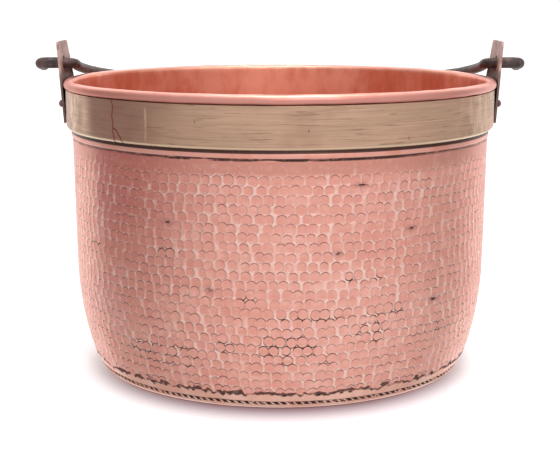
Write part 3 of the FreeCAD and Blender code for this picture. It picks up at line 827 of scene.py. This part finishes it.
def makeWall():
    top, rows = pot["beadBottom"], wallShape["rows"]
    heights = [pot["seamHeight"] + (top - pot["seamHeight"]) * row / rows for row in range(rows + 1)]
    outer = [(belly(0, height), height) for height in heights]
    backRows, skin = wallShape["backRows"], wallShape["skin"]
    backHeights = [top - (top - pot["seamHeight"]) * row / backRows for row in range(backRows + 1)]
    inner = [(belly(skin, height), height) for height in backHeights]
    section = outer + inner
    last = len(outer) - 1

    def shape(angle, index, radius, height):
        lip = lipHeight(angle)
        share = max(0.0, 1 - (height - pot["seamHeight"]) / wallShape["lipBlend"])
        height = height + (lip - pot["seamHeight"]) * share
        radius = belly(0 if index <= last else skin, height)
        calm = max(0.0, min(1.0, (top - height) / wallShape["calmBlend"]))
        radius += wallShape["sway"] * calm * wave(angle, height, 2.2, 1.5)
        if index > last:
            return radius, height
        curl = max(0.0, 1 - (height - lip) / wallShape["curlHeight"])
        radius += wallShape["curl"] * curl * (0.5 + wave(angle, 0.0, 30.0, 2.2))
        return radius, height

    wall = turned("hammeredWall", section, even(wallShape["columns"]), shape)
    above = []
    for point in wall.data.vertices:
        angle = math.atan2(point.co.x, -point.co.y)
        above.append(point.co.z - lipHeight(angle))
    writeAttribute(wall, "aboveLip", above)

    tree, start, end = newTree("HammerMarks", [("Depth", "NodeSocketFloat", 1.0)])
    wiring = Wiring(tree)
    position = wiring.add("GeometryNodeInputPosition").outputs[0]
    normal = wiring.add("GeometryNodeInputNormal").outputs[0]
    marks = hammerMarks(wiring, position, hammering)
    x, y = wiring.split(position)[:2]
    normalX, normalY = wiring.split(normal)[:2]
    facing = wiring.plus(wiring.times(x, normalX), wiring.times(y, normalY))
    outside = wiring.maths("GREATER_THAN", facing, 0.0)     # the back of the sheet stays smooth
    amount = wiring.times(wiring.times(marks["height"], outside), start.outputs["Depth"])
    offset = wiring.add("ShaderNodeVectorMath", operation="SCALE")
    wiring.feed(offset.inputs[0], normal)
    wiring.feed(offset.inputs["Scale"], amount)
    moved = wiring.add("GeometryNodeSetPosition")
    wiring.feed(moved.inputs["Geometry"], start.outputs["Geometry"])
    wiring.feed(moved.inputs["Offset"], offset.outputs[0])
    finishTree(wiring, moved.outputs[0], end, wallFinish)
    return applyTree(wall, tree, {"Depth": 1.0})


hammeredWall = makeWall()
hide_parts("vessel_wall")
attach(hammeredWall, "vessel")
print("hammered wall made")


# The lining with the bead and the rolled rim.

rimShape = {
    "columns": 480,
    "ripple": 0.00030,          # unevenness of the rolled rim
    "rippleFrom": 0.256,        # height where it starts
    "rippleBlend": 0.004,
    "liningSway": 0.00035,
    "swayBelow": 0.25,
    "swayBlend": 0.02,
    "clearance": 0.00003,       # between the two skins
    "innerSet": 0.0001,         # keeps the inside clear of the wall's back
}


def makeLining():
    wallRadius, sheet = pot["wallRadius"], pot["sheet"]
    centre, roll = pot["rollCentre"], pot["rollRadius"]
    swell = pot["beadSwell"]
    beadMiddle = (pot["beadBottom"] + pot["beadTop"]) / 2
    half = (pot["beadTop"] - pot["beadBottom"]) / 2
    bulge = (half * half + swell * swell) / (2 * swell)
    beadCentre = (wallRadius + swell - bulge, beadMiddle)
    spread = math.degrees(math.asin(half / bulge))
    skinBack = wallShape["skin"] + rimShape["clearance"]
    innerFrom = wallRadius - 0.0011         # what lies further in than this is the inside
    section = []
    # Between the skins, up to the bead.
    for step in range(15):
        height = pot["seamHeight"] + (pot["beadBottom"] - 0.0004 - pot["seamHeight"]) * step / 14
        section.append((belly(skinBack, height), height))
    section += arc(beadCentre, bulge, -spread, spread, 14)
    section += straight((wallRadius, pot["beadTop"] + 0.001), (wallRadius, centre[1]), 8)
    section += arc(centre, roll - sheet, 180, -pot["rollEnd"], 18)[1:]
    section += arc(centre, roll, -pot["rollEnd"], 180, 34)
    section += straight((wallRadius - sheet, centre[1] - 0.003),
                        (wallRadius - sheet, pot["beadTop"] + 0.001), 7)
    section += arc(beadCentre, bulge - sheet, spread * 0.8, -spread * 0.8, 6)
    for step in range(31):
        height = pot["beadBottom"] - 0.001 - (pot["beadBottom"] - 0.001 - pot["seamHeight"]) * step / 30
        section.append((belly(sheet, height), height))

    def shape(angle, index, radius, height):
        if height > rimShape["rippleFrom"]:
            share = min(1.0, (height - rimShape["rippleFrom"]) / rimShape["rippleBlend"])
            long, short = wave(angle, 0.0, 5.0, 9.1), wave(angle, height * 9, 22.0, 3.3)
            radius += rimShape["ripple"] * share * (long + 0.6 * short)
            height += rimShape["ripple"] * share * wave(angle, 0.0, 9.0, 6.4) * 1.2
        elif radius < innerFrom and height < rimShape["swayBelow"]:
            share = min(1, (rimShape["swayBelow"] - height) / rimShape["swayBlend"])
            radius += rimShape["liningSway"] * wave(angle, height, 6.0, 5.5) * share - rimShape["innerSet"]
        return radius, height

    return turned("liningAndRim", section, even(rimShape["columns"]), shape)


liningAndRim = makeLining()
liningAndRim.data.materials.append(liningFinish)
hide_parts("vessel_wall")
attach(liningAndRim, "vessel")
print("lining and rim made")


# The pan with its roped edge.

panShape = {
    "columns": 720,
    "cornerRadius": 0.009,
    "outerCurve": 0.2704,       # radius of its lip's curve
    "top": 0.024,
    "floorSteps": 16,
    "cornerSteps": 16,
    "lipSteps": 44,
    "grooveMiddle": 0.0060,
    "grooveHalf": 0.0019,
    "grooveDepth": 0.0010,
    "twists": 172,              # slanted strands in the groove
    "twistLength": 0.0066,
    "twistThickness": 0.0014,
    "twistSlant": 32,           # degrees
    "ropeRadius": 0.1733,
    "grooveWander": 0.0004,     # the groove rises and falls this much
    "unevenness": 0.0002,
    "blackUnderLip": 0.0016,     # mean reach of the black under the wall's edge
    "blackWander": 0.0026,
    "blackStart": (0.160, 0.002), # radius and height where the black may start
}


def panOutline():
    # Section of the pan: under the bottom, round the corner, up the lip and back inside.
    outer, sheet, corner = panShape["outerCurve"], pot["sheet"], panShape["cornerRadius"]
    drop = pot["waistHeight"] - corner
    centre = (bellyCentre + math.sqrt((outer - corner) ** 2 - drop * drop), corner)
    leanBack = -math.degrees(math.asin(drop / (outer - corner)))
    middle = (bellyCentre, pot["waistHeight"])
    topAngle = -math.degrees(math.asin((pot["waistHeight"] - panShape["top"]) / outer))
    innerTop = -math.degrees(math.asin((pot["waistHeight"] - panShape["top"]) / (outer - sheet)))
    section = straight((0.0, 0.0), (centre[0], 0.0), panShape["floorSteps"])
    section += arc(centre, corner, -90, leanBack, panShape["cornerSteps"])[1:]
    section += arc(middle, outer, leanBack, topAngle, panShape["lipSteps"])[1:]
    section += arc(middle, outer - sheet, innerTop, leanBack, 14)
    section += arc(centre, corner - sheet, leanBack, -90, 10)[1:]
    section += straight((centre[0], sheet), (0.0, sheet), panShape["floorSteps"])[1:]
    return section


def fromGroove(angle, height):
    # How far a height is from the wandering groove, 1 at its edge.
    middle = panShape["grooveMiddle"] + panShape["grooveWander"] * wave(angle, 0, 8.0, 3.0)
    return abs(height - middle) / panShape["grooveHalf"]


def makePan():
    section = panOutline()
    floorEnd = panShape["floorSteps"]
    outerEnd = floorEnd + panShape["cornerSteps"] + panShape["lipSteps"]

    def shape(angle, index, radius, height):
        if floorEnd < index <= outerEnd:
            away = fromGroove(angle, height)
            if away < 1:
                radius -= panShape["grooveDepth"] * (1 - away ** 4)
            radius += panShape["unevenness"] * wave(angle, height, 30.0, 8.0)
        return radius, height

    pan = turned("basePan", section, even(panShape["columns"]), shape)
    lipAndGrooveBlack = []
    leastRadius, leastHeight = panShape["blackStart"]
    for index, point in enumerate(pan.data.vertices):
        radius = math.hypot(point.co.x, point.co.y)
        if index % len(section) > outerEnd or radius < leastRadius or point.co.z < leastHeight:
            lipAndGrooveBlack.append(0.0)
            continue
        angle = math.atan2(point.co.x, -point.co.y)
        below = lipHeight(angle) - point.co.z
        reach = panShape["blackUnderLip"] + panShape["blackWander"] * wave(angle, 0, 34.0, 1.0)
        underLip = max(0.0, min(1.0, (reach - below) / 0.0007))
        inGroove = max(0.0, min(1.0, (0.92 - fromGroove(angle, point.co.z)) / 0.25))
        lipAndGrooveBlack.append(max(underLip, inGroove))
    writeAttribute(pan, "lipAndGrooveBlack", lipAndGrooveBlack)
    shell = bmesh.new()
    shell.from_mesh(pan.data)
    bmesh.ops.remove_doubles(shell, verts=shell.verts, dist=0.000001)
    bmesh.ops.dissolve_degenerate(shell, edges=shell.edges, dist=0.0000001)
    shell.to_mesh(pan.data)
    shell.free()
    pan.data.materials.append(panFinish)
    return pan


basePan = makePan()
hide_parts("base_pan")
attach(basePan, "vessel")


def makeTwists():
    # Slanted strands laid in the pan's groove, like a rope.
    radius, height = panShape["ropeRadius"], panShape["grooveMiddle"]
    points = [around(angle, radius, height) for angle in even(panShape["twists"])]
    line = meshPiece("ropeEdge", points, [])
    tree, start, end = newTree("RopeEdge", [
        ("Length", "NodeSocketFloat", panShape["twistLength"]),
        ("Thickness", "NodeSocketFloat", panShape["twistThickness"]),
        ("Slant", "NodeSocketFloat", math.radians(panShape["twistSlant"])),
        ("Seed", "NodeSocketInt", 11),
    ])
    wiring = Wiring(tree)
    strand = wiring.add("GeometryNodeMeshUVSphere")
    strand.inputs["Segments"].default_value = 8
    strand.inputs["Rings"].default_value = 6
    strand.inputs["Radius"].default_value = 0.5
    position = wiring.add("GeometryNodeInputPosition").outputs[0]
    x, y = wiring.split(position)[:2]
    turn = wiring.bearing(x, y)
    randomSlant = wiring.add("FunctionNodeRandomValue", data_type="FLOAT")
    randomSlant.inputs[2].default_value = 0.75
    randomSlant.inputs[3].default_value = 1.2
    wiring.feed(randomSlant.inputs["Seed"], start.outputs["Seed"])
    slant = wiring.times(start.outputs["Slant"], randomSlant.outputs[1])
    lay = wiring.add("FunctionNodeAxisAngleToRotation")
    lay.inputs["Axis"].default_value = (0, 1, 0)
    wiring.feed(lay.inputs["Angle"], slant)
    face = wiring.add("FunctionNodeAxisAngleToRotation")
    face.inputs["Axis"].default_value = (0, 0, 1)
    wiring.feed(face.inputs["Angle"], turn)
    both = wiring.add("FunctionNodeRotateRotation", rotation_space="GLOBAL")
    wiring.feed(both.inputs[0], lay.outputs[0])
    wiring.feed(both.inputs[1], face.outputs[0])
    size = wiring.joined(start.outputs["Length"], start.outputs["Thickness"], start.outputs["Thickness"])
    placed = wiring.add("GeometryNodeInstanceOnPoints")
    wiring.feed(placed.inputs["Points"], start.outputs["Geometry"])
    wiring.feed(placed.inputs["Instance"], strand.outputs["Mesh"])
    wiring.feed(placed.inputs["Rotation"], both.outputs[0])
    wiring.feed(placed.inputs["Scale"], size)
    finishTree(wiring, placed.outputs[0], end, panFinish)
    return applyTree(line, tree, {"Length": panShape["twistLength"], "Thickness": panShape["twistThickness"],
                                  "Slant": math.radians(panShape["twistSlant"]), "Seed": 11})


ropeEdge = makeTwists()
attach(ropeEdge, "vessel")
print("pan made")


# The brass band.

bandShape = {
    "thickness": 0.0016,
    "radius": 0.2000,
    "bottom": 0.2243,
    "top": 0.2604,
    "corner": 0.0045,
    "crack": [(-44.9, 0.2604), (-44.3, 0.2545), (-44.8, 0.2470), (-44.4, 0.2400), (-44.6, 0.2340),
              (-44.0, 0.2290), (-44.5, 0.2225)],
    "branch": [(-44.6, 0.2370), (-43.2, 0.2352), (-42.6, 0.2318), (-41.7, 0.2290), (-41.3, 0.2225)],
    "crackWidth": 0.0007,
    "crackZone": (-46, -40.5),  # degrees with finer columns
    "fineStep": 0.08,
    "coarseStep": 0.5,
    "sway": 0.00025,
    "crackDepth": 0.0006,
    "rub": -33.6,               # a pale upright line
    "dents": [                  # degrees, depth, half width in degrees
        (-73, 0.0011, 3.0), (-66, 0.0009, 2.0), (-60, 0.0010, 2.4), (-54, -0.0006, 3.0),
        (49, 0.0009, 2.6), (56, -0.0006, 2.4), (63, 0.0008, 3.2), (131, 0.0007, 3.4), (-121, 0.0008, 3.0),
    ],
}


def distanceToLine(line, angle, height):
    # Distance along the band's face from a point to a jagged line, in metres.
    best = 1.0
    here = Vector((angle * bandShape["radius"], height))
    for (firstAngle, firstHeight), (lastAngle, lastHeight) in zip(line, line[1:]):
        first = Vector((math.radians(firstAngle) * bandShape["radius"], firstHeight))
        last = Vector((math.radians(lastAngle) * bandShape["radius"], lastHeight))
        run = last - first
        share = max(0.0, min(1.0, (here - first).dot(run) / run.length_squared))
        best = min(best, (first + run * share - here).length)
    return best


def distanceToCrack(angle, height):
    return min(distanceToLine(bandShape["crack"], angle, height),
               distanceToLine(bandShape["branch"], angle, height))


def makeBand():
    outerRadius, thick, corner = bandShape["radius"], bandShape["thickness"], bandShape["corner"]
    bottom, top = bandShape["bottom"], bandShape["top"]
    centre = (outerRadius - corner, bottom + corner)
    foot = pot["wallRadius"] + 0.0001
    section = [(foot, bottom)]
    section += arc(centre, corner, -90, 0, 10)
    section += straight((outerRadius, bottom + corner), (outerRadius, top - 0.0005), 44)[1:]
    section += [(outerRadius - 0.0002, top - 0.0001), (outerRadius - 0.0005, top)]
    section += [(outerRadius - thick + 0.0002, top), (outerRadius - thick, top - 0.0003)]
    section += straight((outerRadius - thick, top - 0.006), (outerRadius - thick, centre[1]), 3)
    section += arc(centre, corner - thick, 0, -90, 4)[1:]
    section += [(foot, bottom + thick)]
    outerEnd = 1 + 11 + 44
    angles = []
    degrees = -180.0
    crackStart, crackEnd = bandShape["crackZone"]
    while degrees < 179.99:
        angles.append(math.radians(degrees))
        degrees += bandShape["fineStep"] if crackStart < degrees < crackEnd else bandShape["coarseStep"]

    def shape(angle, index, radius, height):
        turn = math.degrees(angle)
        push = 0.0
        for middle, depth, width in bandShape["dents"]:
            away = (turn - middle + 180) % 360 - 180
            if abs(away) < width * 3:
                rise = 0.55 + 0.45 * math.sin(height * 150 + middle)
                push -= depth * rise * math.exp(-(away / width) ** 2)
        push += bandShape["sway"] * wave(angle, height, 7.0, 2.7)
        if index <= outerEnd and crackStart < turn < crackEnd:
            away = distanceToCrack(angle, height)
            push -= bandShape["crackDepth"] * max(0.0, 1 - away / bandShape["crackWidth"])
        calm = min(1.0, max(0.0, (height - bottom - 0.001) / 0.006))
        return radius + push * calm, height

    band = turned("brassBand", section, angles, shape)
    crack, rub = [], []
    for point in band.data.vertices:
        angle = math.atan2(point.co.x, -point.co.y)
        turn = math.degrees(angle)
        away = 1.0
        if -47 < turn < -40:
            away = distanceToCrack(angle, point.co.z)
        crack.append(max(0.0, min(1.0, (0.0011 - away) / 0.0006)))
        sway = 0.3 * wave(angle, point.co.z * 4, 3.0, 8.0)
        rub.append(max(0.0, 1 - abs(turn - bandShape["rub"] - sway) / 0.40))
    writeAttribute(band, "crack", crack)
    writeAttribute(band, "rub", rub)
    band.data.materials.append(bandFinish)
    return band


brassBand = makeBand()
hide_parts("brass_band")
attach(brassBand, "vessel")
print("band made")


# The bail.

bailShape = {
    "rodRadius": 0.0053,
    "pivotHeight": 0.2826,
    "slim": 0.0045,             # the forging thins out towards the bow
    "dip": 8.659,               # degrees below level when folded back
    "bowRadius": 0.195204,
    "bowSetback": 0.034,
    "bend": 0.0115,             # softer than the frame's, as forged
    "hookBend": 0.008,
    "hookAcross": 0.226223,
    "hookLength": 0.023,
    "unevenness": 0.00022,
    "slimFrom": 0.212,          # distance from the middle where the rod starts to thin out
    "slimOver": 0.030,
    "slimBehind": 0.12,         # how far back the hooks' full thickness ends
    "facets": (55.0, 2.0, 0.5), # noise of the hammered faces: scale, detail and roughness
    "facetMiddle": 0.62,
}


def bailPath():
    # The rod's centre line, lying level, from the left hook's end to the right one's.
    bow, back, bend = bailShape["bowRadius"], bailShape["bowSetback"], bailShape["bend"]
    across = math.sqrt((bow + bend) ** 2 - (back - bend) ** 2)
    hook = bailShape["hookAcross"]
    share = math.atan2(back - bend, across)
    right = []
    start = math.pi / 2
    stop = -share
    for step in range(1, 61):
        turn = start + (stop - start) * step / 60
        right.append((bow * math.cos(turn), back + bow * math.sin(turn)))
    for step in range(1, 9):
        turn = math.pi - share + (math.pi / 2 + share) * step / 8
        right.append((across + bend * math.cos(turn), bend + bend * math.sin(turn)))
    turnIn = bailShape["hookBend"]
    right.append((hook - turnIn, 0.0))
    for step in range(1, 9):
        turn = -math.pi / 2 + math.pi / 2 * step / 8
        right.append((hook - turnIn + turnIn * math.cos(turn), turnIn + turnIn * math.sin(turn)))
    right.append((hook, (turnIn + bailShape["hookLength"]) / 2))
    right.append((hook, bailShape["hookLength"]))
    left = [(-x, y) for x, y in reversed(right)]
    return left + [(0.0, back + bow)] + right


def makeBail():
    flat = bailPath()
    tips = [math.sin(math.pi / 2 * step / 6) for step in range(7)]
    points, radii = [], []
    radius = bailShape["rodRadius"]
    for step in range(6, 0, -1):
        points.append((flat[0][0], flat[0][1] + radius * tips[step]))
        radii.append(math.sqrt(max(0.0004, 1 - tips[step] ** 2)))
    for x, y in flat:
        points.append((x, y))
        share = 1.0
        if y < bailShape["slimBehind"]:
            share = max(0.0, min(1.0, (bailShape["slimFrom"] - abs(x)) / bailShape["slimOver"]))
        radii.append(1 - (1 - bailShape["slim"] / radius) * share)
    for step in range(1, 7):
        points.append((flat[-1][0], flat[-1][1] + radius * tips[step]))
        radii.append(math.sqrt(max(0.0004, 1 - tips[step] ** 2)))
    fold = Matrix.Rotation(math.radians(-bailShape["dip"]), 3, "X")
    lift = Vector((0, 0, bailShape["pivotHeight"]))
    route = bpy.data.curves.new("bailRod", "CURVE")
    route.dimensions = "3D"
    spline = route.splines.new("POLY")
    spline.points.add(len(points) - 1)
    for index, (x, y) in enumerate(points):
        place = fold @ Vector((x, y, 0)) + lift
        spline.points[index].co = (*place, 1)
        spline.points[index].radius = radii[index]
    rod = bpy.data.objects.new("bailRod", route)
    bpy.context.scene.collection.objects.link(rod)

    tree, start, end = newTree("ForgedRod", [
        ("Radius", "NodeSocketFloat", radius),
        ("Unevenness", "NodeSocketFloat", bailShape["unevenness"]),
    ])
    wiring = Wiring(tree)
    thickness = wiring.add("GeometryNodeInputRadius").outputs[0]
    section = wiring.add("GeometryNodeCurvePrimitiveCircle")
    section.inputs["Resolution"].default_value = 28
    wiring.feed(section.inputs["Radius"], start.outputs["Radius"])
    swept = wiring.add("GeometryNodeCurveToMesh")
    wiring.feed(swept.inputs["Curve"], start.outputs["Geometry"])
    wiring.feed(swept.inputs["Profile Curve"], section.outputs["Curve"])
    swept.inputs["Fill Caps"].default_value = True
    wiring.feed(swept.inputs["Scale"], thickness)
    finer = wiring.add("GeometryNodeSubdivideMesh")
    wiring.feed(finer.inputs["Mesh"], swept.outputs[0])
    finer.inputs["Level"].default_value = 1
    position = wiring.add("GeometryNodeInputPosition").outputs[0]
    normal = wiring.add("GeometryNodeInputNormal").outputs[0]
    facets = wiring.noise(position, *bailShape["facets"])
    amount = wiring.times(wiring.minus(facets, bailShape["facetMiddle"]), start.outputs["Unevenness"])
    offset = wiring.add("ShaderNodeVectorMath", operation="SCALE")
    wiring.feed(offset.inputs[0], normal)
    wiring.feed(offset.inputs["Scale"], wiring.times(amount, 2.0))
    moved = wiring.add("GeometryNodeSetPosition")
    wiring.feed(moved.inputs["Geometry"], finer.outputs[0])
    wiring.feed(moved.inputs["Offset"], offset.outputs[0])
    finishTree(wiring, moved.outputs[0], end, bailFinish)
    return applyTree(rod, tree, {"Radius": radius, "Unevenness": bailShape["unevenness"]})


bailRod = makeBail()
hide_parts("bail")
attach(bailRod, "bail")
print("bail made")


# Frame parts that keep their shape and get a finish.

for node, finish in (("ear_left", earFinish), ("ear_right", earFinish), ("ear_left_rivets", rivetFinish),
                     ("ear_right_rivets", rivetFinish), ("rim_wire", wireFinish)):
    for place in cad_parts[node].material_slots:
        place.material = finish
print("frame parts painted")


# Floor, light and camera.

studio = {
    "floorColour": (0.93, 0.92, 0.93, 1),
    "shadeColour": (0.42, 0.30, 0.36, 1),   # soft contact shade close to the pan
    "shadeForward": 0.030,
    "shadeFrom": 0.130,
    "shadeTo": 0.196,
    "floorGlow": 0.30,
    "floorReach": 6,
    "floorDrop": 0.0002,
    "sideLevel": 0.45,                      # light from the sides, the front, the back, above and below
    "frontLevel": 0.81,
    "backLevel": 1.35,
    "topLevel": 0.45,
    "lowLevel": 0.10,
    "seenLevel": 1.05,                      # what the view shows behind the pot
    "lean": -0.30,                          # turns the front light towards the right
    "frontOver": (0.25, -0.95),             # directions over which each light comes in
    "backOver": (0.46, 0.64),
    "topOver": (0.2, 0.95),
    "lowOver": (-0.16, -0.48),
    "lamps": [                              # name, place, aim, size, power
        ("topLight", (0.1, -0.3, 2.2), (0, 0, 0.1), 1.4, 20),
        ("frontLight", (0.7, -2.3, 1.5), (0, 0, 0.15), 1.2, 9),
    ],
    "cameraPlace": (0.0, -1.208, 0.3537),
    "cameraTilt": 79.0,                     # degrees up from straight down
    "lens": 81.96,
    "sensor": 36,
}


def makeFloor():
    reach, height = studio["floorReach"], -studio["floorDrop"]
    corners = [(x * reach, y * reach, height) for x, y in ((-1, -1), (1, -1), (1, 1), (-1, 1))]
    floor = meshPiece("floor", corners, [(0, 1, 2, 3)])
    material, wiring, shader, position = newFinish("paleFloor")
    x, y = wiring.split(position)[:2]
    out = wiring.distance(x, wiring.plus(y, studio["shadeForward"]))
    clear = wiring.rise(out, studio["shadeFrom"], studio["shadeTo"])
    tone = wiring.colours(clear, studio["shadeColour"], studio["floorColour"])
    wiring.feed(shader.inputs["Base Color"], tone)
    shader.inputs["Roughness"].default_value = 1.0
    shader.inputs["Specular IOR Level"].default_value = 0.0
    shader.inputs["Emission Color"].default_value = (1, 1, 1, 1)
    wiring.feed(shader.inputs["Emission Strength"], wiring.times(clear, studio["floorGlow"]))
    floor.data.materials.append(material)
    floor.visible_glossy = False
    return floor


floor = makeFloor()


def makeSky():
    world = bpy.data.worlds.new("studio")
    world.use_nodes = True
    bpy.context.scene.world = world
    wiring = Wiring(world.node_tree)
    background = world.node_tree.nodes["Background"]
    direction = wiring.add("ShaderNodeTexCoord").outputs["Generated"]
    x, y, z = wiring.split(direction)
    side = studio["sideLevel"]
    forward = wiring.rise(wiring.plus(y, wiring.times(x, studio["lean"])), *studio["frontOver"])
    level = wiring.plus(side, wiring.times(forward, studio["frontLevel"] - side))
    behind = wiring.rise(y, *studio["backOver"])
    level = wiring.plus(level, wiring.times(behind, studio["backLevel"] - side))
    level = wiring.plus(level, wiring.times(wiring.rise(z, *studio["topOver"]), studio["topLevel"]))
    level = wiring.plus(level, wiring.times(wiring.rise(z, *studio["lowOver"]), studio["lowLevel"]))
    seen = wiring.add("ShaderNodeLightPath").outputs["Is Camera Ray"]
    wiring.feed(background.inputs["Strength"], wiring.between(seen, level, studio["seenLevel"]))
    background.inputs["Color"].default_value = (1, 1, 1, 1)


makeSky()


def makeLight(name, place, aim, size, power):
    lamp = bpy.data.lights.new(name, "AREA")
    lamp.shape = "DISK"
    lamp.size = size
    lamp.energy = power
    light = bpy.data.objects.new(name, lamp)
    bpy.context.scene.collection.objects.link(light)
    light.location = place
    light.rotation_euler = (Vector(aim) - Vector(place)).to_track_quat("-Z", "Y").to_euler()


for lampName, lampPlace, lampAim, lampSize, lampPower in studio["lamps"]:
    makeLight(lampName, lampPlace, lampAim, lampSize, lampPower)

lens = bpy.data.cameras.new("view")
lens.lens = studio["lens"]
lens.sensor_width = studio["sensor"]
viewer = bpy.data.objects.new("view", lens)
viewer.location = studio["cameraPlace"]
viewer.rotation_euler = (math.radians(studio["cameraTilt"]), 0, 0)
bpy.context.scene.collection.objects.link(viewer)
bpy.context.scene.camera = viewer
bpy.context.scene.view_settings.view_transform = "Standard"
print("studio made")
